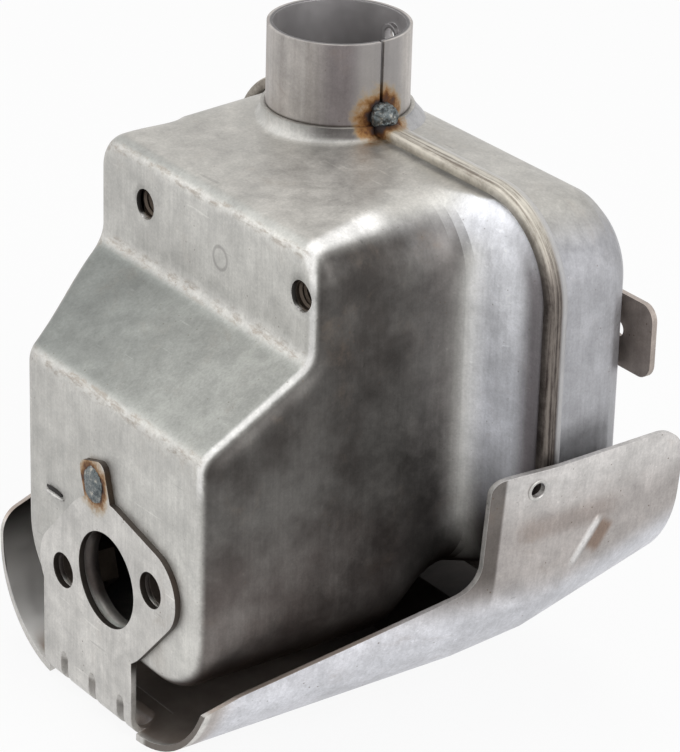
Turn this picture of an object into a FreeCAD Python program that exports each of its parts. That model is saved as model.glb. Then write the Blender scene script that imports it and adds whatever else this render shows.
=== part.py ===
import FreeCAD, Part
import math
import os

import Sketcher

# Small engine muffler: two drawn shells in a crimped hem, an outlet pipe and a folded mounting bracket.
# Millimetres, +Z up, +Y from the mounting flange to the rear face, +X to the right seen from the front.
# The origin is the centre of the inlet on the outer face of the flange plate.

SIZES = {
    # Sheet thicknesses
    "shell_wall": 1.2,
    "bracket_wall": 1.5,
    # Nose of the front shell
    "nose_left": 38.0,
    "nose_right": 39.0,
    "nose_bottom": -19.0,
    "nose_top": 45.5,
    "nose_corner": 20.0,
    "nose_run_out": 6.0,
    # Upper front face
    "upper_front": 31.5,
    "upper_foot": 62.5,
    "upper_left": 53.0,
    "upper_top": 90.0,
    "upper_corner": 9.0,
    # Rounding of the drawn front
    "crease_round": 6.0,
    "front_round": 4.5,
    # Seam between the shells
    "seam_half": 60.5,
    "seam_bottom": 2.0,
    "seam_top": 94.0,
    "seam_corner": 21.0,
    "seam_plane": 81.1,
    # Shoulder where the drawn form flares out to the seam
    "shoulder_end": 78.6,
    "shoulder_angle": 72.0,
    "shoulder_round": 10.0,
    "belly_angle": 45.0,
    "belly_round": 10.0,
    # Hem that holds the shells together
    "hem_reach": 3.6,
    "hem_lip": 1.7,
    "hem_roll": 1.9,
    "hem_round": 1.1,
    "hem_back_round": 2.2,
    "lip_gap": 0.9,
    # Rear shell
    "rear_face": 110.0,
    "rear_taper": 1.5,
    "rear_fall": 1.6,
    "rear_corner": 20.0,
    "rear_round": 12.0,
    # Inlet and mounting holes
    "inlet_bore": 24.0,
    "bolt_spacing": 40.0,
    "bolt_bore": 9.0,
    "bolt_tilt": 17.0,
    "inlet_depth": 4.0,
    "inlet_round": 2.0,
    "backing_thick": 2.0,
    "backing_bore": 8.6,
    "backing_gap": 0.3,
    "backing_lobe": 8.5,
    "backing_hub": 17.0,
    "nut_across": 13.0,
    "nut_height": 6.5,
    "tapped_bore": 6.8,
    # Upper threaded holes
    "upper_hole_x": 32.25,
    "upper_hole_z": 77.5,
    "upper_hole_bore": 7.6,
    "strip_end": 4.75,
    "strip_half_width": 6.5,
    "strip_thick": 2.0,
    "strip_collar": 1.1,
    "strip_collar_length": 4.0,
    "strip_chamfer": 1.4,
    # Lanced slot beside the flange's tab
    "slot_x": -25.0,
    "slot_z": 12.6,
    "slot_length": 7.3,
    "slot_height": 0.8,
    # Baffle
    "baffle_y": 50.0,
    "baffle_rim": 7.0,
    "baffle_thick": 1.0,
    "baffle_gap": 0.4,
    "baffle_left_gap": 1.1,
    "baffle_hole": 6.0,
    "baffle_pitch": 16.0,
    # Outlet
    "pipe_inset": 36.75,
    "pipe_outside": 35.0,
    "pipe_wall": 1.4,
    "pipe_foot": 66.0,
    "pipe_rim": 117.0,
    "pipe_slit": 0.9,
    "pipe_gap": 0.05,
    "pipe_hole": 4.0,
    "pipe_hole_drop": 6.5,
    "pipe_hole_lip": 1.0,
    "collar_top": 96.6,
    "collar_round": 2.2,
    "hem_stop": 0.8,
    "tack_radius": 4.0,
    "tack_reach": 4.2,
    "tack_z": 98.6,
    # Flange plate of the bracket
    "flange_hub": 20.5,
    "flange_lobe": 10.5,
    "tab_half": 5.6,
    "tab_shift": 2.0,
    "tab_top": 29.3,
    "tab_corner": 2.6,
    "neck_left": 28.0,
    "neck_right": 11.0,
    "neck_bend": 5.0,
    "plug_v": 23.4,
    "plug_u": 1.4,
    "plug_bore": 6.0,
    "neck_overlap": 13.0,
    # Gussets across the neck's bend
    "gusset_first": -18.8,
    "gusset_pitch": 12.5,
    "gusset_top": -28.0,
    "gusset_radius": 1.6,
    "gusset_room": 12.0,
    # Scoop of the bracket: front, bend, foot and rear stations
    "scoop_front_right": 42.0,
    "scoop_front_left": 51.0,
    "scoop_front_floor": -38.5,
    "scoop_front_round": 32.0,
    "scoop_front_round_left": 27.0,
    "scoop_bend_y": 65.0,
    "scoop_bend_narrow": 0.5,
    "scoop_bend_floor": -24.5,
    "scoop_bend_round": 38.0,
    "scoop_foot_y": 80.0,
    "scoop_foot_floor": -16.0,
    "scoop_foot_round": 25.0,
    "scoop_rear_y": 119.3,
    "scoop_rear_floor": -8.0,
    "scoop_rear_round": 30.0,
    "scoop_reach": 5.0,
    "scoop_lean": 6.0,
    "scoop_high": 46.0,
    # Right wall and wing, seen from the side
    "right_front_z": -18.4,
    "right_lift_y": 9.3,
    "right_lift_z": -13.6,
    "right_foot_z": 8.4,
    "right_foot_round": 9.0,
    "wing_front_y": 62.0,
    "wing_top": 37.0,
    "wing_front_round": 4.0,
    "wing_rear_round": 9.0,
    "wing_hole_y": 74.4,
    "wing_hole_z": 32.0,
    "wing_hole": 3.8,
    # Left wall, seen from the side
    "left_front_z": -5.0,
    "left_rear_z": 20.0,
    "left_round": 6.0,
    # Ear on the rear face
    "ear_reach": 2.3,
    "ear_width": 28.8,
    "ear_bottom": 48.6,
    "ear_top": 67.2,
    "ear_thick": 1.5,
    "ear_corner": 4.0,
    "ear_hole": 4.0,
    "ear_hole_inset": 9.8,
}

DOC = FreeCAD.newDocument("muffler")


class Size:
    """A number of the muffler together with the expression that ties it to the sheet of sizes."""

    def __init__(self, value, text):
        self.value = value
        self.text = text

    def join(self, other, sign, value):
        return Size(value, f"({self.text} {sign} {as_size(other).text})")

    def __add__(self, other):
        return self.join(other, "+", self.value + as_size(other).value)

    def __sub__(self, other):
        return self.join(other, "-", self.value - as_size(other).value)

    def __mul__(self, other):
        return self.join(other, "*", self.value * as_size(other).value)

    def __truediv__(self, other):
        return self.join(other, "/", self.value / as_size(other).value)

    def __rsub__(self, other):
        return as_size(other) - self

    def __neg__(self):
        return Size(-self.value, f"(-1 * {self.text})")

    __radd__ = __add__
    __rmul__ = __mul__


def as_size(number):
    """A plain number as a Size."""
    return number if isinstance(number, Size) else Size(float(number), repr(float(number)))


def size(alias):
    """The named size."""
    return Size(SIZES[alias], f"sizes.{alias}")


def cosine(angle):
    return Size(math.cos(math.radians(angle.value)), f"cos({angle.text})")


def sine(angle):
    return Size(math.sin(math.radians(angle.value)), f"sin({angle.text})")


def tangent(angle):
    return Size(math.tan(math.radians(angle.value)), f"tan({angle.text})")


def root(number):
    return Size(math.sqrt(number.value), f"sqrt({number.text})")


def between(start, end, share):
    """The size that lies at a share of the way from start to end."""
    return start + (end - start) * share


def make_sheet():
    """The spreadsheet with every driving size, each under its alias."""
    sheet = DOC.addObject("Spreadsheet::Sheet", "sizes")
    for row, (alias, number) in enumerate(SIZES.items(), start=1):
        sheet.set(f"A{row}", alias)
        sheet.set(f"B{row}", str(number))
        sheet.setAlias(f"B{row}", alias)
    DOC.recompute()


def tie(item, path, number):
    """Bind a property of an object to a size."""
    item.setExpression(path, as_size(number).text)


# Sketches and bodies

def new_body(name):
    return DOC.addObject("PartDesign::Body", name)


def new_sketch(body, role, offset=0):
    """A sketch on an origin plane of the body, moved along the plane's normal by the offset."""
    sketch = body.newObject("Sketcher::SketchObject", body.Name + "_sketch")
    plane = [item for item in body.Origin.OriginFeatures if item.Role == role][0]
    sketch.AttachmentSupport = [(plane, "")]
    sketch.MapMode = "FlatFace"
    tie(sketch, "AttachmentOffset.Base.z", offset)
    return sketch


def fix_point(sketch, element, end, across, up):
    """Dimension a point of the sketch from the origin."""
    for kind, number in (("DistanceX", across), ("DistanceY", up)):
        number = as_size(number)
        index = sketch.addConstraint(Sketcher.Constraint(kind, element, end, number.value))
        tie(sketch, f"Constraints[{index}]", number)


def outline(sketch, corners):
    """A closed outline through corners (across, up, rounding), where a rounding of None is sharp."""
    points = [FreeCAD.Vector(as_size(x).value, as_size(y).value, 0) for x, y, _ in corners]
    count = len(points)
    for index in range(count):
        sketch.addGeometry(Part.LineSegment(points[index], points[(index + 1) % count]))
    for index in range(count):
        sketch.addConstraint(Sketcher.Constraint("Coincident", index, 2, (index + 1) % count, 1))
    for index, (across, up, _) in enumerate(corners):
        fix_point(sketch, index, 1, across, up)
    sketch.solve()
    for index, (_, _, rounding) in enumerate(corners):
        if rounding is None:
            continue
        rounding = as_size(rounding)
        before = (index - 1) % count
        near_before = points[index] + (points[before] - points[index]) * 0.3
        near_after = points[index] + (points[(index + 1) % count] - points[index]) * 0.3
        arc = sketch.GeometryCount
        sketch.fillet(before, index, near_before, near_after, rounding.value, True, True)
        radius = sketch.addConstraint(Sketcher.Constraint("Radius", arc, rounding.value))
        tie(sketch, f"Constraints[{radius}]", rounding)


def ring(sketch, across, up, *radii):
    """Circles about one centre."""
    for radius in radii:
        radius = as_size(radius)
        centre = FreeCAD.Vector(as_size(across).value, as_size(up).value, 0)
        index = sketch.addGeometry(Part.Circle(centre, FreeCAD.Vector(0, 0, 1), radius.value))
        fix_point(sketch, index, 3, across, up)
        constraint = sketch.addConstraint(Sketcher.Constraint("Radius", index, radius.value))
        tie(sketch, f"Constraints[{constraint}]", radius)


def pad(body, sketch, length, backwards=False):
    """Raise a sketch along its normal, or against it."""
    feature = body.newObject("PartDesign::Pad", body.Name + "_pad")
    feature.Profile = sketch
    tie(feature, "Length", length)
    feature.Reversed = backwards
    sketch.Visibility = False
    return feature


def loft(body, sketches, ruled):
    """A loft through sketches of the body."""
    feature = body.newObject("PartDesign::AdditiveLoft", body.Name + "_loft")
    feature.Profile = sketches[0]
    feature.Sections = sketches[1:]
    feature.Ruled = ruled
    return feature


# Part primitives and booleans

def cylinder(name, radius, height, x, y, z, along="z"):
    """A cylinder whose base centre is given, along +Z or +Y."""
    item = DOC.addObject("Part::Cylinder", name)
    tie(item, "Radius", radius)
    tie(item, "Height", height)
    if along == "y":
        item.Placement.Rotation = FreeCAD.Rotation(FreeCAD.Vector(1, 0, 0), -90)
    place(item, x, y, z)
    return item


def box(name, length, width, height, x, y, z):
    """A box from its lowest corner."""
    item = DOC.addObject("Part::Box", name)
    tie(item, "Length", length)
    tie(item, "Width", width)
    tie(item, "Height", height)
    place(item, x, y, z)
    return item


def place(item, x, y, z):
    tie(item, "Placement.Base.x", x)
    tie(item, "Placement.Base.y", y)
    tie(item, "Placement.Base.z", z)


def fused(name, items):
    item = DOC.addObject("Part::MultiFuse", name)
    item.Shapes = items
    return item


def cut(name, base, tool):
    item = DOC.addObject("Part::Cut", name)
    item.Base = base
    item.Tool = tool
    return item


def common(name, *items):
    item = DOC.addObject("Part::MultiCommon", name)
    item.Shapes = list(items)
    return item


def rounded(name, base, radius, wanted):
    """The base with the edges that wanted(edge, shape) picks rounded by the radius."""
    DOC.recompute()
    shape = base.Shape
    picks = [number for number, edge in enumerate(shape.Edges, start=1) if wanted(edge, shape)]
    if not picks:
        raise RuntimeError(f"{name}: no edge to round")
    item = DOC.addObject("Part::Fillet", name)
    item.Base = base
    item.Edges = [(number, as_size(radius).value, as_size(radius).value) for number in picks]
    return item


def surface_kinds(edge, shape):
    """The kinds of surface that meet in an edge, and their faces."""
    faces = shape.ancestorsOfType(edge, Part.Face)
    return [(face.Surface.TypeId, face) for face in faces]


# Sizes that several pieces share

WALL = size("shell_wall")
PLATE = size("bracket_wall")
NOSE = PLATE
SEAM = size("seam_plane")
SEAM_HALF = size("seam_half")
PIPE_X = size("pipe_inset") - SEAM_HALF
SCOOP_HALF = SEAM_HALF + size("scoop_reach")
BOLT_X = size("bolt_spacing") / 2 * cosine(size("bolt_tilt"))
BOLT_Z = size("bolt_spacing") / 2 * sine(size("bolt_tilt"))
PIPE_RADIUS = size("pipe_outside") / 2
COLLAR_RADIUS = PIPE_RADIUS + WALL
THROUGH = 300
# Where the plug weld sits: along and up from the bolt line
PLUG_X = size("plug_u") * cosine(size("bolt_tilt")) - size("plug_v") * sine(size("bolt_tilt"))
PLUG_Z = size("plug_u") * sine(size("bolt_tilt")) + size("plug_v") * cosine(size("bolt_tilt"))


def section(body, y, left, right, bottom, top, low_corner, high_corner):
    """A rounded rectangle across the muffler at a depth y."""
    sketch = new_sketch(body, "XZ_Plane", -as_size(y))
    outline(sketch, [
        (-as_size(left), bottom, low_corner),
        (right, bottom, low_corner),
        (right, top, high_corner),
        (-as_size(left), top, high_corner),
    ])
    return sketch


def front_stations(inset):
    """The front shell's stations, taken in by the inset: depth, left, right, bottom, top and corner radii.

    The second list starts with the last station of the first one.
    """
    nose = []
    shoulder = []
    nose_span = size("upper_front") - NOSE
    rear_span = size("shoulder_end") - size("upper_front")

    def upper(y):
        """Left side, top and corner radii, which taper evenly from the upper face to the seam."""
        share = (y - size("upper_front")) / rear_span
        return (between(size("upper_left"), SEAM_HALF, share) - inset,
                between(size("upper_top"), size("seam_top"), share) - inset,
                between(size("nose_corner"), size("seam_corner"), share) - inset,
                between(size("upper_corner"), size("seam_corner"), share) - inset)

    # The straight sides of the nose
    right = size("nose_right") - inset
    bottom = size("nose_bottom") + inset
    for share in (-size("nose_run_out") / nose_span, as_size(0), as_size(0.5)):
        y = NOSE + nose_span * share
        left = between(size("nose_left"), size("upper_left"), share) - inset
        top = between(size("upper_top"), size("seam_top"), (y - size("upper_front")) / rear_span) - inset
        nose.append((y, left, right, bottom, top, size("nose_corner") - inset, size("upper_corner") - inset))

    # The belly turns up on an arc, after a straight run behind the upper face
    belly = size("belly_angle")
    belly_arc = size("belly_round") - inset
    belly_y = (size("shoulder_end") - (size("seam_bottom") - size("nose_bottom")) / tangent(belly)
               - size("belly_round") * tangent(belly / 2))
    belly_z = size("nose_bottom") + size("belly_round")
    for y in (size("upper_front"), between(size("upper_front"), belly_y, 0.5), belly_y):
        left, top, low, high = upper(y)
        nose.append((y, left, right, bottom, top, low, high))
    for step in range(4):
        turn = belly * (step / 3)
        y = belly_y + belly_arc * sine(turn)
        left, top, low, high = upper(y)
        rise = belly_z - belly_arc * cosine(turn)
        shoulder.append((y, left, right, rise, top, low, high))

    # The right side flares out on an arc and runs straight to the seam, while the belly keeps rising
    flare = size("shoulder_angle")
    flare_arc = size("shoulder_round") + inset
    flare_y = (size("shoulder_end") - (SEAM_HALF - size("nose_right")) / tangent(flare)
               - size("shoulder_round") * tangent(flare / 2))
    flare_x = size("nose_right") + size("shoulder_round")
    end_y = size("shoulder_end") + inset * tangent(flare / 2)
    end_x = SEAM_HALF - inset
    flare_points = []
    for step in range(6):
        turn = flare * (step / 5)
        flare_points.append((flare_y + flare_arc * sine(turn), flare_x - flare_arc * cosine(turn)))
    last_y, last_x = flare_points[-1]
    flare_points.append((between(last_y, end_y, 0.6), between(last_x, end_x, 0.6)))
    for y, right in flare_points:
        left, top, low, high = upper(y)
        bottom = (size("seam_bottom") + (y - size("shoulder_end")) * tangent(belly)
                  + inset / cosine(belly))
        shoulder.append((y, left, right, bottom, top, low, high))
    corner = size("seam_corner") - inset
    shoulder.append((end_y, end_x, end_x, size("seam_bottom") + inset, size("seam_top") - inset, corner, corner))
    return nose, shoulder


def front_form(name, inset, overrun):
    """The drawn form of the front shell, taken in by the inset, from the nose to the seam plane."""
    inset = as_size(inset)
    nose_span = size("upper_front") - NOSE
    body = new_body(name)
    nose, shoulder = front_stations(inset)
    loft(body, [section(body, *station) for station in nose], ruled=False)
    loft(body, [section(body, *station) for station in shoulder], ruled=True)
    start = size("shoulder_end") + inset * tangent(size("shoulder_angle") / 2)
    pad(body, seam_section(body, start, -inset), SEAM - start + overrun, backwards=True)
    step = new_body(name + "_step")
    slope = (size("upper_foot") - size("nose_top")) / nose_span
    drop = inset * (slope - root(slope * slope + 1))
    sketch = new_sketch(step, "YZ_Plane", -THROUGH / 2)
    outline(sketch, [
        (-50, -100, None),
        (NOSE + inset, -100, None),
        (NOSE + inset, size("nose_top") + drop, size("crease_round") - inset),
        (size("upper_front") + inset, size("upper_foot") + drop, size("crease_round") + inset),
        (size("upper_front") + inset, 150, None),
        (-50, 150, None),
    ])
    pad(step, sketch, THROUGH)
    stepped = cut(name + "_stepped", body, step)
    limit = SIZES["upper_front"] + SIZES["crease_round"] + 2

    def front_loop(edge, shape):
        kinds = surface_kinds(edge, shape)
        pressed = [face for kind, face in kinds
                   if kind in ("Part::GeomPlane", "Part::GeomCylinder") and face.CenterOfMass.y < limit]
        drawn = [face for kind, face in kinds if kind == "Part::GeomBSplineSurface"]
        return len(pressed) == 1 and len(drawn) == 1

    return rounded(name + "_rounded", stepped, size("front_round") - inset, front_loop)


def seam_section(body, y, grow):
    """The seam's rounded rectangle, grown outwards."""
    grow = as_size(grow)
    return section(body, y, SEAM_HALF + grow, SEAM_HALF + grow, size("seam_bottom") - grow,
                   size("seam_top") + grow, size("seam_corner") + grow, size("seam_corner") + grow)


def seam_block(name, y, length, grow):
    """A slab of the seam's outline from a depth y, grown outwards."""
    body = new_body(name)
    pad(body, seam_section(body, y, grow), length, backwards=True)
    return body


def rear_form(name, inset, lead):
    """The drawn form of the rear shell, taken in by the inset, from the seam plane to the rear face."""
    inset = as_size(inset)
    arc = size("rear_round") - inset
    start = size("rear_face") - size("rear_round")

    def rear_section(body, y, grow):
        share = (y - SEAM) / (size("rear_face") - SEAM)
        half = SEAM_HALF - size("rear_taper") * share + grow
        corner = between(size("seam_corner"), size("rear_corner"), share) + grow
        fall = size("rear_fall") * share
        return section(body, y, half, half, size("seam_bottom") + fall - grow,
                       size("seam_top") - fall + grow, corner, corner)

    body = new_body(name)
    first = seam_section(body, SEAM, -inset)
    sketches = [first]
    for step in range(6):
        turn = as_size(18 * step)
        sketches.append(rear_section(body, start + arc * sine(turn), arc * cosine(turn) - arc - inset))
    loft(body, sketches, ruled=True)
    if lead:
        pad(body, first, lead)
    return body


def collar_half(name, front):
    """Half of the drawn collar that holds the outlet pipe."""
    foot = size("seam_top") - 10
    post = cylinder(name + "_post", COLLAR_RADIUS, size("collar_top") - foot, PIPE_X, SEAM, foot)
    reach = 60
    start = SEAM - reach if front else SEAM
    half = box(name + "_half", 2 * reach, reach, THROUGH, PIPE_X - reach, start, 0)
    return common(name, post, half)


def with_collar(name, form, front):
    """A drawn form with its half of the collar, blended into the top."""
    half = collar_half(name + "_collar", front)
    if not front:
        foot = DOC.addObject("Part::Cone", name + "_foot")
        tie(foot, "Radius1", COLLAR_RADIUS + size("collar_round") * 1.2)
        tie(foot, "Radius2", COLLAR_RADIUS)
        tie(foot, "Height", size("collar_round") * 1.4)
        place(foot, PIPE_X, SEAM, size("seam_top") - size("collar_round") * 0.4)
        keep = box(name + "_foot_half", 60, 30, 30, PIPE_X - 30, SEAM, size("seam_top") - 10)
        return fused(name, [form, half, common(name + "_flare", foot, keep)])
    joined = fused(name + "_joined", [form, half])
    radius = COLLAR_RADIUS.value
    pipe_x = PIPE_X.value
    seam = SIZES["seam_plane"]
    rim = SIZES["collar_top"]

    def collar_foot(edge, shape):
        middle = edge.valueAt(edge.getParameterByLength(edge.Length / 2))
        reach = math.hypot(middle.x - pipe_x, middle.y - seam)
        return abs(reach - radius) < 0.01 and abs(middle.y - seam) > 1 and middle.z < rim - 0.2

    return rounded(name, joined, size("collar_round"), collar_foot)


def pipe_bore(name):
    """The hole in the top that the outlet pipe stands in."""
    return cylinder(name, PIPE_RADIUS + size("pipe_gap"), THROUGH, PIPE_X, SEAM, size("pipe_foot"))


def hem_stop(name):
    """The room round the collar where the hem ends."""
    return cylinder(name, COLLAR_RADIUS + size("hem_stop"), THROUGH, PIPE_X, SEAM, size("pipe_foot"))


def hole_along_y(name, radius, x, z, start, length):
    return cylinder(name, radius, length, x, start, z, along="y")


def make_front_shell():
    """The front half: nose, shoulder, upper face, half collar and the flange inside the hem."""
    outer = with_collar("front_outer", front_form("front_skin", 0, 0), True)
    inner = front_form("front_inside", WALL, 1)
    hollow = cut("front_hollow", outer, inner)
    flange_reach = size("hem_reach") - WALL - 0.1
    flange = cut("front_flange_ring", seam_block("front_flange", SEAM - WALL, WALL, flange_reach),
                 seam_block("front_flange_bore", SEAM - WALL - 1, WALL + 2, -WALL))
    flange = cut("front_flange_open", flange, hem_stop("front_flange_stop"))
    inlet = hole_along_y("front_inlet_collar", size("inlet_bore") / 2 + WALL, 0, 0, NOSE, size("inlet_depth"))
    joined = fused("front_joined", [hollow, flange, inlet])
    bore = hole_along_y("front_inlet", size("inlet_bore") / 2, 0, 0, -5, 25)

    def inlet_edge(edge, shape):
        ends = [vertex.Point for vertex in edge.Vertexes]
        return all(abs(point.y - SIZES["bracket_wall"]) < 0.01
                   and math.hypot(point.x, point.z) < SIZES["inlet_bore"] / 2 + 0.01 for point in ends)

    joined = rounded("front_rolled_inlet", cut("front_opened", joined, bore), size("inlet_round"), inlet_edge)
    deep = size("upper_front") + 12
    drills = [
        pipe_bore("front_pipe_bore"),
        hole_along_y("front_bolt_right", size("bolt_bore") / 2, BOLT_X, BOLT_Z, -5, 15),
        hole_along_y("front_bolt_left", size("bolt_bore") / 2, -BOLT_X, -BOLT_Z, -5, 15),
        box("front_slot", size("slot_length"), 10, size("slot_height"), size("slot_x") - size("slot_length") / 2,
            -2, size("slot_z") - size("slot_height") / 2),
    ]
    for name, side in (("right", 1), ("left", -1)):
        drills.append(hole_along_y(f"front_upper_{name}", size("upper_hole_bore") / 2,
                                   size("upper_hole_x") * side, size("upper_hole_z"), 20, deep - 20))
    return cut("front_shell", joined, fused("front_drills", drills))


def make_rear_shell():
    """The rear half with the hem folded over the front shell's flange."""
    outer = with_collar("rear_outer", rear_form("rear_skin", 0, 0), False)
    hollow = cut("rear_hollow", outer, rear_form("rear_inside", WALL, 2))
    reach = size("hem_reach")
    lip_start = SEAM - WALL - size("hem_lip")
    back = SEAM + size("hem_roll") + WALL
    block = seam_block("hem_block", lip_start, back - lip_start, reach)

    def edges_at(depth):
        return lambda edge, shape: all(abs(vertex.Point.y - depth.value) < 0.01 for vertex in edge.Vertexes)

    crest = rounded("hem_crest", block, size("hem_round"), edges_at(lip_start))
    crest = rounded("hem_back", crest, size("hem_back_round"), edges_at(back))
    pocket = seam_block("hem_pocket", SEAM - WALL, WALL + size("hem_roll"), reach - WALL)
    lip_opening = seam_block("hem_lip_opening", lip_start - 1, size("hem_lip") + 1, size("lip_gap"))
    bore = seam_block("hem_bore", SEAM - 1, size("hem_roll") + WALL + 2, -WALL)
    hem = cut("hem_ring", crest, fused("hem_tools", [pocket, lip_opening, bore]))
    hem = cut("hem", hem, hem_stop("hem_stop_post"))
    joined = fused("rear_joined", [hollow, hem])
    return cut("rear_shell", joined, pipe_bore("rear_pipe_bore"))


def rotated_point(u, v):
    """A point given along and up from the tilted bolt line."""
    tilt = size("bolt_tilt")
    return u * cosine(tilt) - v * sine(tilt), u * sine(tilt) + v * cosine(tilt)


def diamond(name, hub, lobe, start, thick):
    """A two-bolt outline: a hub and two lobes joined by tangent lines, raised along +Y."""
    half = size("bolt_spacing") / 2
    lean = (hub - lobe) / half
    rise = root(1 - lean * lean)
    body = new_body(name + "_web")
    points = []
    for side, up in ((1, 1), (-1, 1), (-1, -1), (1, -1)):
        ends = [(hub * lean * side, hub * rise * up), ((half + lobe * lean) * side, lobe * rise * up)]
        points += ends if side * up < 0 else ends[::-1]
    sketch = new_sketch(body, "XZ_Plane", -as_size(start))
    outline(sketch, [rotated_point(u, v) + (None,) for u, v in points])
    pad(body, sketch, thick, backwards=True)
    parts = [body, hole_along_y(name + "_hub", hub, 0, 0, start, thick)]
    for side in (1, -1):
        parts.append(hole_along_y(f"{name}_lobe_{side + 1}", lobe, BOLT_X * side, BOLT_Z * side, start, thick))
    return fused(name, parts)


def bolt_holes(name, radius, start, length):
    return [hole_along_y(f"{name}_{side + 1}", radius, BOLT_X * side, BOLT_Z * side, start, length)
            for side in (1, -1)]


def make_inlet_plate():
    """The stiffening plate behind the nose, round the inlet's collar."""
    plate = diamond("backing", size("backing_hub"), size("backing_lobe"), NOSE + WALL, size("backing_thick"))
    bore = size("inlet_bore") / 2 + WALL + size("backing_gap")
    drills = bolt_holes("backing_bolt", size("backing_bore") / 2, NOSE, 10)
    drills.append(hole_along_y("backing_inlet", bore, 0, 0, NOSE, 10))
    flat = size("nose_bottom") + size("front_round")
    drills.append(box("backing_flat", 100, 10, 20, -50, NOSE, flat - 20))
    return cut("inlet_plate", plate, fused("backing_drills", drills))


def make_inlet_nuts():
    """Two weld nuts behind the mounting holes."""
    start = NOSE + WALL + size("backing_thick")
    nuts = []
    for side in (1, -1):
        nut = DOC.addObject("Part::Prism", f"nut_{side + 1}")
        nut.Polygon = 6
        tie(nut, "Circumradius", size("nut_across") / 2 / cosine(as_size(30)))
        tie(nut, "Height", size("nut_height"))
        flats_inward = FreeCAD.Rotation(FreeCAD.Vector(0, 1, 0), 30 - SIZES["bolt_tilt"])
        nut.Placement.Rotation = flats_inward * FreeCAD.Rotation(FreeCAD.Vector(1, 0, 0), -90)
        place(nut, BOLT_X * side, start, BOLT_Z * side)
        nuts.append(nut)
    bores = bolt_holes("nut_bore", size("tapped_bore") / 2, start - 1, 20)
    return cut("inlet_nuts", fused("nut_blanks", nuts), fused("nut_bores", bores))


def make_nut_strip():
    """The strip behind the upper face with two burred and tapped collars."""
    start = size("upper_front") + WALL
    half = size("upper_hole_x") + size("strip_end")
    face = new_body("strip_face")
    sketch = new_sketch(face, "XZ_Plane", -start)
    tall = size("strip_half_width")
    corner = tall - 0.1
    outline(sketch, [
        (-half, size("upper_hole_z") - tall, corner),
        (half, size("upper_hole_z") - tall, corner),
        (half, size("upper_hole_z") + tall, corner),
        (-half, size("upper_hole_z") + tall, corner),
    ])
    pad(face, sketch, size("strip_thick"), backwards=True)
    profile = new_body("strip_profile")
    sketch = new_sketch(profile, "XY_Plane", 50)
    thick = size("strip_thick")
    chamfer = size("strip_chamfer")
    outline(sketch, [
        (-half, start + chamfer, None),
        (-half + chamfer * 2, start, None),
        (half - chamfer * 2, start, None),
        (half, start + chamfer, None),
        (half, start + thick, None),
        (-half, start + thick, None),
    ])
    pad(profile, sketch, 60)
    parts = [common("strip", face, profile)]
    bores = []
    for side in (1, -1):
        x = size("upper_hole_x") * side
        z = size("upper_hole_z")
        collar = size("tapped_bore") / 2 + size("strip_collar")
        parts.append(hole_along_y(f"strip_collar_{side + 1}", collar, x, z, start + thick / 2,
                                  size("strip_collar_length") + thick / 2))
        bores.append(hole_along_y(f"strip_bore_{side + 1}", size("tapped_bore") / 2, x, z, start - 1, 20))
    return cut("nut_strip", fused("strip_blank", parts), fused("strip_bores", bores))


def baffle_section(body, y, inset):
    """The inside of the front shell at a depth behind the upper face."""
    share = (y - size("upper_front")) / (size("shoulder_end") - size("upper_front"))
    left = between(size("upper_left"), SEAM_HALF, share) - inset + size("baffle_gap") - size("baffle_left_gap")
    return section(body, y, left, size("nose_right") - inset, size("nose_bottom") + inset,
                   between(size("upper_top"), size("seam_top"), share) - inset,
                   between(size("nose_corner"), size("seam_corner"), share) - inset,
                   between(size("upper_corner"), size("seam_corner"), share) - inset)


def make_baffle_plate():
    """The perforated partition, a shallow tray with its rim turned to the front."""
    back = size("baffle_y")
    front = back - size("baffle_rim")
    inset = WALL + size("baffle_gap")
    solid = new_body("baffle_solid")
    loft(solid, [baffle_section(solid, front, inset), baffle_section(solid, back, inset)], ruled=True)
    room = new_body("baffle_room")
    inner = inset + size("baffle_thick")
    loft(room, [baffle_section(room, front - 1, inner), baffle_section(room, back - size("baffle_thick"), inner)],
         ruled=True)
    holes = new_body("baffle_holes")
    sketch = new_sketch(holes, "XZ_Plane", -(front + 2))
    for row in range(5):
        for column in range(4):
            ring(sketch, size("baffle_pitch") * (column - 2), size("baffle_pitch") * (row + 0.3),
                 size("baffle_hole") / 2)
    pad(holes, sketch, 20, backwards=True)
    return cut("baffle_plate", cut("baffle_tray", solid, room), holes)


def make_outlet_pipe():
    """The rolled pipe with its butt slit and the pierced screw hole with its inward lip."""
    foot = size("pipe_foot")
    tall = size("pipe_rim") - foot
    inner = PIPE_RADIUS - size("pipe_wall")
    tube = cylinder("pipe_tube", PIPE_RADIUS, tall, PIPE_X, SEAM, foot)
    hole = size("pipe_hole") / 2
    hole_z = size("pipe_rim") - size("pipe_hole_drop")
    lip = hole_along_y("pipe_lip", hole + size("pipe_hole_lip"), PIPE_X, hole_z,
                       SEAM + inner - 1.2, 2)
    bore = cylinder("pipe_bore", inner, THROUGH, PIPE_X, SEAM, foot - 10)
    slit = box("pipe_slit", 40, size("pipe_slit"), THROUGH, PIPE_X, SEAM - size("pipe_slit") / 2, foot - 10)
    pierced = hole_along_y("pipe_pierced", hole, PIPE_X, hole_z, SEAM + inner - 5, 20)
    shell = fused("pipe_lipped", [cut("pipe_hollow", tube, bore), lip])
    return cut("outlet_pipe", shell, fused("pipe_tools", [slit, pierced]))


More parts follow.
